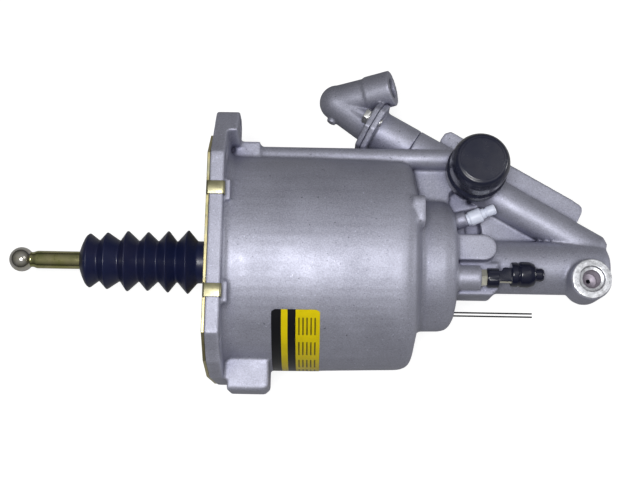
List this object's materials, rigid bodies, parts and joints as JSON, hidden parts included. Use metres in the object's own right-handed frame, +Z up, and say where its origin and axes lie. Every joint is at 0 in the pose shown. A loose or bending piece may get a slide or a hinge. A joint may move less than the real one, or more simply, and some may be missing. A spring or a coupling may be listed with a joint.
{
  "type": "clutch servo",
  "caption": "Air-hydraulic truck clutch servo: flanged cast cylinder, bellows with ball pushrod, slanted control valve tube, air inlet elbow, hydraulic port and bleed screw.",
  "frame": {"origin": "centre of the mounting face, the front of the cover plate, on the cylinder axis", "axes": "+X along the cylinder from the flange to the hydraulic port end, +Y to the air channel and the inlet elbow, +Z up out of the hydraulic port, the side the picture shows"},
  "size_m": [0.4172, 0.2275, 0.16],
  "materials": {
    "cast_aluminium": "blasted casting, satin",
    "machined_aluminium": "fine turned",
    "yellow_zinc_steel": "yellow zinc plated",
    "zinc_steel": "zinc plated",
    "spring_steel": "dark, lightly oiled",
    "ground_steel": "ground and polished",
    "brass": "turned",
    "sintered_bronze": "porous matte",
    "black_rubber": "moulded, slightly shiny",
    "brown_plastic": "matte",
    "white_nylon": "moulded, satin",
    "label_film": null
  },
  "bodies": {
    "housing": {"housing": "cast_aluminium", "cover_plate": "yellow_zinc_steel", "cover_clips": "yellow_zinc_steel", "stop_ring": "spring_steel", "bellows": "black_rubber", "return_spring": "spring_steel", "rod_gland": "brass", "gland_seal": "black_rubber", "inlet_tube": "cast_aluminium", "inlet_elbow": "cast_aluminium", "elbow_seal": "black_rubber", "elbow_bolts": "zinc_steel", "valve_seat": "brass", "poppet_spring": "spring_steel", "valve_spring": "spring_steel", "breather_cap": "black_rubber", "exhaust_filter": "sintered_bronze", "port_ring": "machined_aluminium", "vent_plug": "white_nylon", "indicator_bush": "black_rubber", "valve_cover": "zinc_steel", "cover_screws": "zinc_steel", "label": "label_film"},
    "piston": {"pushrod": "yellow_zinc_steel", "air_piston": "machined_aluminium", "piston_seal": "black_rubber", "guide_ring": "brown_plastic", "piston_rod": "ground_steel", "hydraulic_piston": "machined_aluminium", "hydraulic_seal": "black_rubber", "rod_clip": "spring_steel"},
    "control_piston": {"control_piston": "brass", "control_seals": "black_rubber"},
    "poppet": {"inlet_poppet": "black_rubber"},
    "bleed_screw": {"bleed_screw": "yellow_zinc_steel"},
    "bleed_cap": {"bleed_cap": "black_rubber"},
    "indicator": {"wear_indicator": "spring_steel"}
  },
  "joints": [
    {"name": "piston_slide", "type": "slide", "parent": "housing", "child": "piston", "axis": [1, 0, 0], "range_m": [0, 0.05], "stiffness_N_per_m": 400, "springref_m": -0.1, "deforming": ["bellows", "return_spring"]},
    {"name": "control_piston_slide", "type": "slide", "parent": "housing", "child": "control_piston", "axis": [-0.8704, 0.4924, 0], "range_m": [0, 0.003], "stiffness_N_per_m": 3000, "springref_m": -0.004, "deforming": ["valve_spring"]},
    {"name": "inlet_poppet_slide", "type": "slide", "parent": "housing", "child": "poppet", "axis": [-0.8704, 0.4924, 0], "range_m": [0, 0.0015], "deforming": ["poppet_spring"]},
    {"name": "bleed_screw_turn", "type": "hinge", "parent": "housing", "child": "bleed_screw", "pos_m": [0.1835, -0.0123, 0.028], "axis": [1, 0, 0], "range_deg": [0, 360]},
    {"name": "bleed_cap_pull", "type": "slide", "parent": "bleed_screw", "child": "bleed_cap", "axis": [1, 0, 0], "range_m": [0, 0.016]},
    {"name": "indicator_slide", "type": "slide", "parent": "housing", "child": "indicator", "axis": [1, 0, 0], "range_m": [-0.02, 0.03]}
  ],
  "couplings": [
    {"joint": "inlet_poppet_slide", "follows": "control_piston_slide", "ratio": 0.5}
  ]
}
